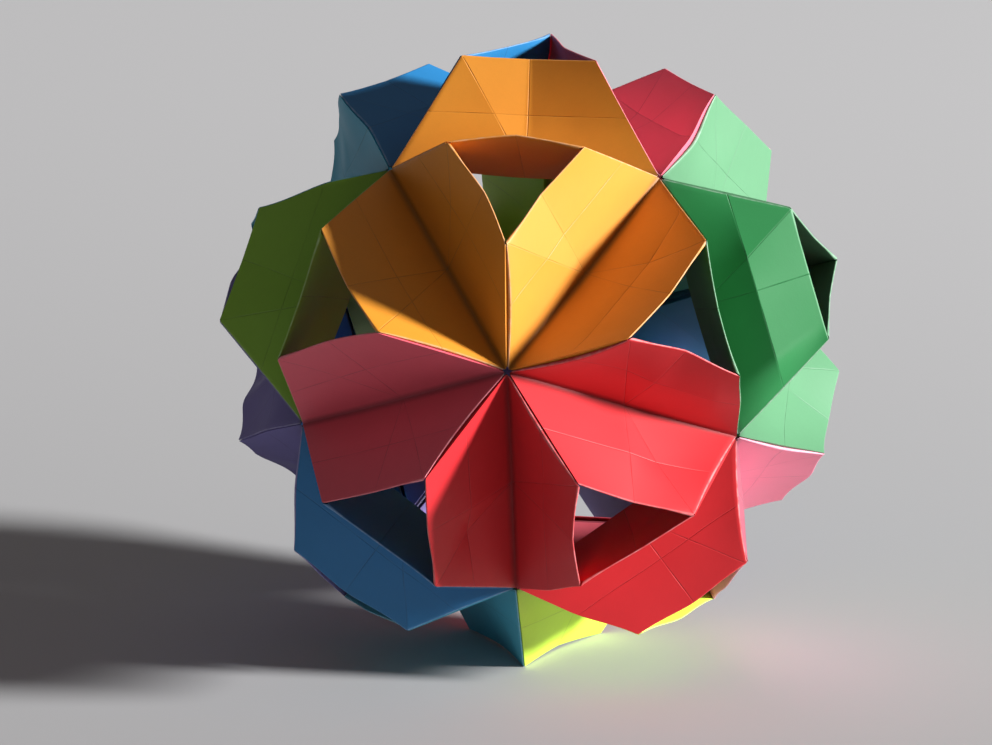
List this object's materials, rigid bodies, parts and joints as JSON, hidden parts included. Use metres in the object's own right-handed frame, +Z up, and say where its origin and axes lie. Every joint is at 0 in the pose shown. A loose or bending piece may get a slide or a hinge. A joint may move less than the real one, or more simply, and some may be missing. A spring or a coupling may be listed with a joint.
{
  "type": "kusudama paper ball",
  "caption": "Round modular paper ball of folded coloured sheets, with star-shaped pits and open three-sided windows.",
  "frame": {"origin": "middle of the window that the ball rests on, at the level of the surface", "axes": "+Z up through the middles of the lowest and highest windows; +Y away from the viewer, +X to the right"},
  "size_m": [0.122, 0.123, 0.1218],
  "materials": {
    "orange_paper": "matte orange paper, coloured through",
    "red_paper": "matte red paper, coloured through",
    "rose_paper": "matte rose paper, coloured through",
    "blue_paper": "matte blue paper, coloured through",
    "light_blue_paper": "matte light blue paper, coloured through",
    "lime_paper": "matte lime paper, coloured through",
    "dark_green_paper": "matte dark green paper, coloured through",
    "crimson_paper": "matte crimson paper, coloured through",
    "light_green_paper": "matte light green paper, coloured through",
    "pink_paper": "matte pink paper, coloured through",
    "yellow_paper": "matte yellow paper, coloured through",
    "teal_paper": "matte teal paper, coloured through",
    "purple_paper": "matte purple paper, coloured through"
  },
  "bodies": {
    "root": {"orange_unit_1": "orange_paper", "orange_unit_2": "orange_paper", "orange_unit_3": "orange_paper", "red_unit_1": "red_paper", "red_unit_2": "red_paper", "red_unit_3": "red_paper", "rose_unit_1": "rose_paper", "blue_unit_1": "blue_paper", "lime_unit_1": "lime_paper", "dark_green_unit_1": "dark_green_paper", "blue_unit_2": "blue_paper", "light_blue_unit_1": "light_blue_paper", "crimson_unit_1": "crimson_paper", "light_green_unit_1": "light_green_paper", "light_green_unit_2": "light_green_paper", "pink_unit_1": "pink_paper", "yellow_unit_1": "yellow_paper", "teal_unit_1": "teal_paper", "purple_unit_1": "purple_paper", "purple_unit_2": "purple_paper", "pink_unit_2": "pink_paper", "dark_green_unit_2": "dark_green_paper", "rose_unit_2": "rose_paper", "blue_unit_3": "blue_paper", "teal_unit_2": "teal_paper", "yellow_unit_2": "yellow_paper", "light_blue_unit_2": "light_blue_paper", "purple_unit_3": "purple_paper", "purple_unit_4": "purple_paper", "lime_unit_2": "lime_paper"}
  },
  "joints": []
}
